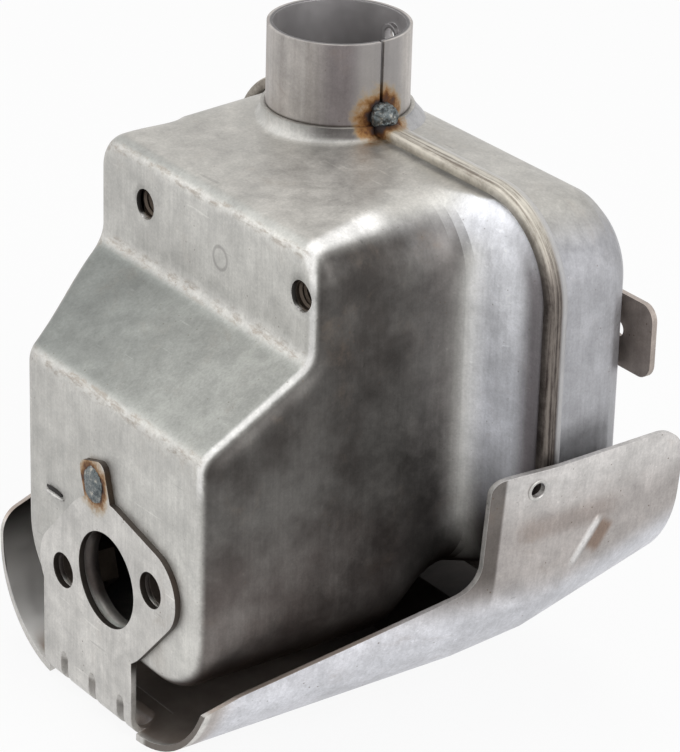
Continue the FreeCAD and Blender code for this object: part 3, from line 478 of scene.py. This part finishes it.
def front_shell_steel():
    """The drawn front: pale faces, a blue-grey slope of painted shade, painted highlights on the shoulder
    and edges, and painted shade on the right side and belly.
    """
    shader = Shader("front_shell_steel", soften=3.5)
    colour = shader.blend(shader.where(x=(-50, 40)), FACE_LEFT, FACE_RIGHT)
    colour = shader.paint(colour, shader.where(up=(0.80, 0.97)), TOP_STEEL)
    # Painted shade on the slope: darker and bluer than the faces, and greyer towards the left
    slope = shader.where(up=(0.45, 0.80), ahead=(-0.22, -0.42), y=(36, 31))
    grey = shader.blend(shader.where(x=(-45, 35)), SLOPE_LEFT, SLOPE_RIGHT)
    colour = shader.paint(colour, slope, grey)
    # Painted highlight on the shoulder, cooler and brighter than the faces, and painted shade at its foot
    shoulder_light = shader.blend(shader.where(z=(45, 76)), SHOULDER_HIGHLIGHT_MIDDLE, SHOULDER_HIGHLIGHT_TOP)
    shoulder_light = shader.paint(shoulder_light, shader.where(z=(40, 12)), SHOULDER_FOOT_SHADE)
    colour = shader.paint(colour, shader.where(x=(40, 48), z=(99, 90)), shoulder_light)
    # Painted highlight on the upper right corner
    corner = shader.where(x=(30, 41), z=(80, 89), y=(48, 60), up=(0.97, 0.85))
    colour = shader.paint(colour, corner, CORNER_HIGHLIGHT)
    # Painted shade on the flat right side, lighter low down and towards the back
    side = shader.where(across=(0.35, 0.78), x=(43.7, 39.0))
    mottle = shader.span(shader.noise(18.0, detail=5.0, roughness=0.6), 0.3, 0.7, 0.86, 1.0)
    side_shade = shader.blend(shader.where(z=(32, 0)), SIDE_SHADE, SIDE_SHADE_LOW)
    side_shade = shader.paint(side_shade, shader.where(y=(52, 70)), SIDE_SHADE_BACK)
    colour = shader.paint(colour, shader.times(side, mottle), side_shade)
    # Brown grime and painted shadow where the shoulder runs under the hem, and painted shade under the belly
    joint = shader.where(y=(76.2, 78.0), z=(92, 78))
    colour = shader.paint(colour, joint, JOINT_GRIME_AND_SHADOW, strength=0.8)
    colour = shader.paint(colour, shader.where(up=(-0.25, -0.65)), BELLY_SHADE)
    # Painted highlight on the rounded edge between the pale faces and the dark side
    edge_start = shader.where(across=(0.12, 0.34), z=(34, 40), y=(60, 50))
    edge_end = shader.where(across=(0.66, 0.46))
    colour = shader.paint(colour, shader.times(edge_start, edge_end), EDGE_HIGHLIGHT, strength=0.75)
    colour = weather(shader, colour)
    # Scuffs and brownish dirt along the folds
    fold_start = shader.where(up=(0.10, 0.30), y=(44, 40), across=(0.5, 0.2))
    fold_end = shader.where(up=(0.74, 0.60))
    scuffs = shader.noise(1.6, detail=6.0, roughness=0.75, stretch=(0.35, 1.0, 1.0))
    scuffed = shader.times(fold_start, fold_end, shader.span(scuffs, 0.46, 0.64))
    colour = shader.paint(colour, scuffed, FOLD_DIRT, strength=0.6)
    # The ring that the spot weld of the nut strip left between the holes
    off_ring = shader.calc("SUBTRACT", shader.distance(UPPER_SPOT), UPPER_SPOT_RADIUS * MM)
    ring = shader.span(shader.calc("ABSOLUTE", off_ring), 0.6 * MM, 0.2 * MM)
    ring = shader.times(ring, shader.where(y=(35, 32)))
    colour = shader.paint(colour, ring, SPOT_RING, strength=0.35)
    colour = heat_tint(shader, colour, PLUG_WELD, reach=7.0, strength=0.25)
    colour = heat_tint(shader, colour, OUTLET_WELD, reach=9.5)
    return shader.finish(colour)


def rear_shell_steel():
    """The drawn rear with its hem, which the folding rolls left dark and scuffed."""
    shader = Shader("rear_shell_steel", soften=2.5)
    colour = shader.blend(shader.where(up=(0.5, 0.95)), REAR_SIDE, REAR_TOP)
    colour = weather(shader, colour)
    # Streaks along the hem, darker on the side than on the top
    low = shader.where(z=(96, 78))
    dark = shader.blend(low, HEM_DARK, HEM_DARK_LOW)
    light = shader.blend(low, HEM_LIGHT, HEM_LIGHT_LOW)
    along = shader.noise(1.1, detail=4.0, roughness=0.6, stretch=(0.03, 1.8, 0.03))
    specks = shader.noise(1.5, detail=5.0, roughness=0.75, stretch=(0.5, 1.6, 0.5))
    streaks = shader.calc("ADD", shader.times(along, 0.7), shader.times(specks, 0.3))
    hem = shader.where(y=(HEM_BACK - 1.5, HEM_BACK - 3.1))
    colour = shader.paint(colour, hem, shader.blend(shader.span(streaks, 0.38, 0.62), dark, light))
    # Painted highlight on the hem's rounded back
    back_start = shader.where(y=(HEM_BACK - 2.9, HEM_BACK - 1.9))
    back_end = shader.where(y=(HEM_BACK + 0.1, HEM_BACK - 0.6))
    colour = shader.paint(colour, shader.times(back_start, back_end), HEM_BACK_HIGHLIGHT, strength=0.5)
    # Painted shadow in the foot of the hem, under its overhang
    foot_start = shader.where(y=(HEM_BACK - 0.3, HEM_BACK + 0.1))
    foot_end = shader.where(y=(HEM_BACK + 0.9, HEM_BACK + 0.1))
    colour = shader.paint(colour, shader.times(foot_start, foot_end), HEM_FOOT_SHADOW, strength=0.7)
    colour = heat_tint(shader, colour, OUTLET_WELD, reach=9.5)
    return shader.finish(colour)


def pipe_steel():
    """The rolled outlet pipe, with lengthwise bands and a bare inside."""
    shader = Shader("pipe_steel", soften=0.4)
    bands = shader.noise(7.0, detail=3.0, roughness=0.6, stretch=(1.0, 1.0, 0.04))
    colour = shader.blend(shader.span(bands, 0.35, 0.65), PIPE_DARK, PIPE_LIGHT)
    # Painted shade on the pipe's side that faces front and right
    shaded = shader.where(across=(0.52, 0.78), ahead=(-0.22, -0.42))
    colour = shader.paint(colour, shaded, PIPE_SHADE, strength=0.85)
    colour = weather(shader, colour)
    # Painted shade on the pipe's right edge
    edge = shader.where(across=(0.86, 0.97), up=(0.5, 0.2))
    colour = shader.paint(colour, edge, PIPE_EDGE_SHADE, strength=0.7)
    # The inside of the wall and its cut rim
    from_axis = shader.distance_from_axis(PIPE_AXIS)
    inside = shader.span(from_axis, (PIPE_RADIUS - 0.5) * MM, (PIPE_RADIUS - 0.9) * MM)
    colour = shader.paint(colour, inside, PIPE_INSIDE, strength=0.85)
    rim = shader.times(inside, shader.where(up=(0.6, 0.9)))
    colour = shader.paint(colour, rim, PIPE_RIM, strength=0.9)
    # Grime in the joint with the collar
    joint = shader.where(z=(COLLAR_TOP + 0.7, COLLAR_TOP + 0.1))
    colour = shader.paint(colour, joint, PIPE_GRIME, strength=0.8)
    colour = heat_tint(shader, colour, OUTLET_WELD, reach=9.0)
    return shader.finish(colour)


def wing_marks(shader, colour):
    """The marks on the wing's outer side. The mask of its pressed rib is handed out with the colour."""
    outer = shader.where(across=(0.3, 0.7))
    half = math.dist(*WING_RIB) / 2
    lengthwise, sideways = shader.beside_line(*WING_RIB)
    ends = shader.span(shader.calc("ABSOLUTE", lengthwise), (half + 1) * MM, (half - 1.5) * MM)
    rib = shader.times(outer, ends, shader.span(shader.calc("ABSOLUTE", sideways), 1.7 * MM, 0.3 * MM))
    # The brown smear and painted shade beside the upper half of the rib
    beside = shader.calc("ABSOLUTE", shader.calc("ADD", sideways, 3.2 * MM))
    smear = shader.times(outer, ends, shader.span(beside, 3.4 * MM, 1.2 * MM),
                         shader.span(lengthwise, 3 * MM, 0.0))
    colour = shader.paint(colour, smear, RIB_SMEAR_AND_SHADE, strength=0.8)
    # Painted highlight along the pressed rib
    colour = shader.paint(colour, rib, RIB_HIGHLIGHT, strength=0.75)
    # A faint brown band along the wing
    band_start = shader.where(y=(68, 74), z=(16.5, 20))
    band_end = shader.where(y=(104, 94), z=(26.5, 22))
    colour = shader.paint(colour, shader.times(outer, band_start, band_end), WING_BAND, strength=0.45)
    # The dark fold band at the wing's front edge
    fold = shader.where(y=(65.8, 64.8), across=(0.5, 0.8), z=(0, 12))
    colour = shader.paint(colour, fold, WING_FOLD, strength=0.85)
    return colour, rib


def scoop_marks(shader, colour):
    """The inside of the scoop: painted shade on its floor, right wall and back, brighter towards the front
    as painted light, and on the left wall painted shade above and painted light below.
    """
    floor = shader.where(up=(0.25, 0.45), z=(5, -3), y=(1.8, 3.5))
    right = shader.where(across=(-0.35, -0.6), x=(30, 34))
    back = shader.where(ahead=(0.6, 0.9), z=(-16, -19))
    stains = shader.span(shader.noise(14.0, detail=5.0, roughness=0.6), 0.3, 0.75)
    # Painted shade inside the scoop, mottled, and painted light towards the front
    scoop_shade = shader.blend(stains, SCOOP_SHADE_DARK, SCOOP_SHADE_LIGHT)
    scoop_lit = shader.blend(stains, SCOOP_LIT_DARK, SCOOP_LIT_LIGHT)
    scoop_shade = shader.paint(scoop_shade, shader.where(y=(62, 40)), scoop_lit)
    colour = shader.paint(colour, shader.most(floor, right, back), scoop_shade, strength=0.97)
    # Painted shade high on the left wall and painted light low on it
    left = shader.where(across=(0.35, 0.6), x=(-30, -34))
    wall_light_and_shade = shader.blend(shader.where(z=(-3, -20)), WALL_SHADE, WALL_LIT)
    return shader.paint(colour, left, wall_light_and_shade)


def bracket_steel():
    """The folded bracket: pale outside with painted reflections of the floor low down, dark brown painted
    shade inside, and browned cut edges with painted shade.
    """
    shader = Shader("bracket_steel", soften=0.35)
    colour = shader.blend(shader.where(z=(34, 20)), BRACKET_HIGH, BRACKET_LOW)
    # Painted reflection of the floor on the lower outside of the scoop and wing
    colour = shader.paint(colour, shader.where(y=(4, 10), z=(10, -4)), SCOOP_FLOOR_REFLECTION)
    # The flange plate and the neck
    plate = shader.most(shader.where(ahead=(-0.6, -0.9)), shader.where(y=(3.6, 2.6)))
    colour = shader.paint(colour, plate, FLANGE_STEEL)
    # Painted reflection of the floor on the lower bend, where it faces the ground: paler and cooler
    under = shader.where(y=(4, 10), up=(-0.15, -0.5))
    colour = shader.paint(colour, under, BEND_FLOOR_REFLECTION)
    colour, rib = wing_marks(shader, colour)
    colour = weather(shader, colour, amount=1.1, rust=0.8)
    colour = scoop_marks(shader, colour)
    colour = heat_tint(shader, colour, PLUG_WELD, reach=8.5)
    # Cut edges of the flange and its holes, browned and darkened with painted shade
    sideways = shader.span(shader.calc("ABSOLUTE", shader.part("ahead")), 0.6, 0.3)
    cut = shader.times(sideways, shader.where(y=(1.9, 1.6), z=(-22, -18)))
    colour = shader.paint(colour, cut, CUT_EDGE_AND_SHADE, strength=0.92)
    # The scoop's front edge
    lip = shader.where(ahead=(-0.4, -0.7), y=(4, 2), x=(13.5, 15.5), z=(-16, -19))
    colour = shader.paint(colour, lip, SCOOP_LIP, strength=0.9)
    shader.bump(rib, strength=1.0, depth=0.7)
    return shader.finish(colour)


def plain_steel(name, base):
    """Weathered steel of one base colour."""
    shader = Shader(name)
    return shader.finish(weather(shader, base, amount=1.2, rust=0.8))


def weld_metal():
    """Weld metal: blue-grey scale with brown edges and small bright ripples."""
    shader = Shader("weld_metal")
    ripple = shader.noise(0.9, detail=5.0, roughness=0.7)
    patches = shader.noise(1.7, detail=3.0, roughness=0.65)
    shader.bsdf.inputs["Metallic"].default_value = METALLIC
    shader.feed(shader.bsdf.inputs["Roughness"], shader.span(ripple, 0.3, 0.7, 0.25, 0.5))
    shader.bump(ripple, strength=0.9, depth=0.4)
    return shader.finish(shader.ramp(patches, WELD_COLOURS))


def dress(node, material):
    """Give a CAD node its finish."""
    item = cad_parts[node]
    if not item.material_slots:
        item.data.materials.append(material)
    for slot in item.material_slots:
        slot.material = material


# Pieces built here

def new_piece(name, mesh, material, replaced=()):
    """Put a mesh into the scene as a piece that rides on the root."""
    item = bpy.data.objects.new(name, mesh)
    bpy.context.scene.collection.objects.link(item)
    item.data.materials.append(material)
    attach(item, "root")
    if replaced:
        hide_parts(*replaced)
    return item


def made_mesh(name, form, smooth):
    """Turn a bmesh form into a mesh and free the form."""
    mesh = bpy.data.meshes.new(name)
    form.to_mesh(mesh)
    form.free()
    for face in mesh.polygons:
        face.use_smooth = smooth
    return mesh


def bead_mesh(name):
    """A lumpy bead or lip: a ball pushed in and out by smooth noise."""
    centre, radii, lumps, seed = BEADS[name]
    form = bmesh.new()
    bmesh.ops.create_icosphere(form, subdivisions=5, radius=1.0)
    offset = Vector((seed * 3.1, seed * 1.7, seed * 0.9))
    for vertex in form.verts:
        direction = vertex.co.normalized()
        reach = 1.0
        for rate, share in BEAD_WAVES:
            reach += noise.noise(direction * rate + offset) * lumps * share
        place = [centre[axis] + direction[axis] * radii[axis] * reach for axis in range(3)]
        vertex.co = Vector(place) * MM
    return made_mesh(name, form, smooth=True)


def ring_mesh(name, centre, normal, radius, thick):
    """The rounded rim pushed up round a pierced hole."""
    form = bmesh.new()
    turn = Vector(normal).to_track_quat("Z", "Y")
    rows = []
    for step in range(RIM_STEPS):
        angle = 2 * math.pi * step / RIM_STEPS
        row = []
        for side in range(RIM_SIDES):
            tilt = 2 * math.pi * side / RIM_SIDES
            reach = radius + thick * math.cos(tilt)
            height = thick * RIM_FLATTENING * math.sin(tilt)
            spot = Vector((reach * math.cos(angle), reach * math.sin(angle), height))
            row.append(form.verts.new((Vector(centre) + turn @ spot) * MM))
        rows.append(row)
    for before, after in zip(rows, rows[1:] + rows[:1]):
        for side in range(RIM_SIDES):
            beyond = (side + 1) % RIM_SIDES
            form.faces.new((before[side], after[side], after[beyond], before[beyond]))
    return made_mesh(name, form, smooth=True)


def thread_mesh(name, centre):
    """A helical ridge inside a bore along +Y."""
    form = bmesh.new()
    foot = THREAD_FLANK * THREAD_PITCH
    profile = ((THREAD_RADIUS, -foot), (THREAD_RADIUS - THREAD_DEPTH, 0.0), (THREAD_RADIUS, foot))
    rows = []
    for step in range(int(THREAD_STEPS * THREAD_LENGTH / THREAD_PITCH) + 1):
        turns = step / THREAD_STEPS
        row = []
        for reach, shift in profile:
            x = centre[0] + reach * math.cos(2 * math.pi * turns)
            y = centre[1] + THREAD_START + THREAD_PITCH * turns + shift
            z = centre[2] + reach * math.sin(2 * math.pi * turns)
            row.append(form.verts.new(Vector((x, y, z)) * MM))
        rows.append(row)
    for before, after in zip(rows, rows[1:]):
        for flank in range(2):
            form.faces.new((before[flank], before[flank + 1], after[flank + 1], after[flank]))
    return made_mesh(name, form, smooth=False)


# Floor, light and camera

def seen_directly(tree):
    """1 for the camera's own rays and for reflections and refractions, 0 for the light on things."""
    path = tree.nodes.new("ShaderNodeLightPath")
    total = path.outputs["Is Camera Ray"]
    for name in ("Is Glossy Ray", "Is Transmission Ray"):
        node = tree.nodes.new("ShaderNodeMath")
        node.operation = "MAXIMUM"
        tree.links.new(total, node.inputs[0])
        tree.links.new(path.outputs[name], node.inputs[1])
        total = node.outputs["Value"]
    return total


def make_stage():
    """A white floor card that keeps a faint shadow."""
    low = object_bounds()[0].z
    form = bmesh.new()
    corners = ((-1, -1), (1, -1), (1, 1), (-1, 1))
    form.faces.new([form.verts.new((x * FLOOR_REACH, y * FLOOR_REACH, low)) for x, y in corners])
    floor = bpy.data.objects.new("floor", made_mesh("floor", form, smooth=False))
    bpy.context.scene.collection.objects.link(floor)
    shader = Shader("floor_card")
    shader.feed(shader.bsdf.inputs["Base Color"], FLOOR_GREY)
    shader.bsdf.inputs["Roughness"].default_value = 0.9
    glow = shader.new("ShaderNodeEmission")
    glow.inputs["Strength"].default_value = 1.0
    mixed = shader.new("ShaderNodeMixShader")
    shader.feed(mixed.inputs[0], shader.times(seen_directly(shader.tree), FLOOR_WHITE))
    shader.link(shader.bsdf.outputs["BSDF"], mixed.inputs[1])
    shader.link(glow.outputs["Emission"], mixed.inputs[2])
    shader.link(mixed.outputs["Shader"], shader.output.inputs["Surface"])
    floor.data.materials.append(shader.material)


def add_lamp(name, place, width, height, power):
    """A lamp card turned to the middle of the muffler."""
    data = bpy.data.lights.new(name, "AREA")
    data.shape = "RECTANGLE"
    data.size = width
    data.size_y = height
    data.energy = power
    item = bpy.data.objects.new(name, data)
    item.location = place
    item.rotation_mode = "QUATERNION"
    item.rotation_quaternion = (Vector(LAMP_TARGET) - Vector(place)).to_track_quat("-Z", "Y")
    bpy.context.scene.collection.objects.link(item)


def make_light():
    """A world that looks white but lights things less, and the lamps."""
    world = bpy.data.worlds.new("studio")
    world.use_nodes = True
    tree = world.node_tree
    background = tree.nodes["Background"]
    background.inputs["Color"].default_value = (1.0, 1.0, 1.0, 1.0)
    strength = tree.nodes.new("ShaderNodeMapRange")
    tree.links.new(seen_directly(tree), strength.inputs["Value"])
    strength.inputs["To Min"].default_value = WORLD_LIGHT
    strength.inputs["To Max"].default_value = 1.0
    tree.links.new(strength.outputs["Result"], background.inputs["Strength"])
    bpy.context.scene.world = world
    for name, settings in LAMPS.items():
        add_lamp(name, *settings)


def make_camera():
    """The photograph's view, fitted to the flange's holes, the pipe and the straight edges."""
    azimuth, elevation, roll = (math.radians(angle) for angle in CAMERA_ANGLES)
    offset = Vector(CAMERA_OFFSET)
    back = Vector((math.sin(azimuth) * math.cos(elevation), -math.cos(azimuth) * math.cos(elevation),
                   math.sin(elevation)))
    right = Vector((math.cos(azimuth), math.sin(azimuth), 0))
    up = back.cross(right)
    level_right = right * math.cos(roll) + up * math.sin(roll)
    level_up = up * math.cos(roll) - right * math.sin(roll)
    place = back * offset.z - level_right * offset.x - level_up * offset.y
    data = bpy.data.cameras.new("camera")
    item = bpy.data.objects.new("camera", data)
    turn = Matrix((level_right, level_up, back)).transposed()
    item.matrix_world = Matrix.Translation(place * MM) @ turn.to_4x4()
    longer = max(PHOTO_SIZE)
    data.sensor_width = SENSOR_WIDTH
    data.lens = CAMERA_FOCAL / longer * SENSOR_WIDTH
    data.shift_x = -(CAMERA_CENTRE[0] - PHOTO_SIZE[0] / 2) / longer
    data.shift_y = (CAMERA_CENTRE[1] - PHOTO_SIZE[1] / 2) / longer
    data.clip_start = 0.05
    data.clip_end = 50
    bpy.context.scene.collection.objects.link(item)
    bpy.context.scene.camera = item


def main():
    welds = weld_metal()
    soot = plain_steel("sooted_steel", SOOT)
    nuts = plain_steel("nut_steel", NUT_STEEL)
    bare = plain_steel("bare_steel", BARE_STEEL)
    finishes = {
        "front_shell": front_shell_steel(),
        "rear_shell": rear_shell_steel(),
        "outlet_pipe": pipe_steel(),
        "base_bracket": bracket_steel(),
        "rear_bracket": plain_steel("ear_steel", EAR_STEEL),
        "inlet_plate": plain_steel("inner_steel", INNER_STEEL),
        "baffle_plate": soot,
        "inlet_nuts": nuts,
        "nut_strip": nuts,
        "outlet_weld": welds,
        "bracket_weld": welds,
    }
    for node, material in finishes.items():
        dress(node, material)
    new_piece("outlet_bead", bead_mesh("outlet_bead"), welds, ("outlet_weld",))
    new_piece("bracket_bead", bead_mesh("bracket_bead"), welds, ("bracket_weld",))
    new_piece("wing_hole_rim", ring_mesh("wing_hole_rim", *WING_HOLE_RIM), bare)
    new_piece("slot_lip", bead_mesh("slot_lip"), bare)
    # A dark lens at the slot's mouth, in the sooted steel, as painted shade for the slot's inside
    new_piece("slot_shade", bead_mesh("slot_shade"), soot)
    threads = [("upper", place) for place in UPPER_HOLES] + [("mount", place) for place in MOUNT_HOLES]
    for number, (kind, place) in enumerate(threads):
        new_piece(f"{kind}_thread_{number}", thread_mesh(f"{kind}_thread", place), nuts)
    make_stage()
    make_light()
    make_camera()
    bpy.context.scene.view_settings.view_transform = "Standard"


main()
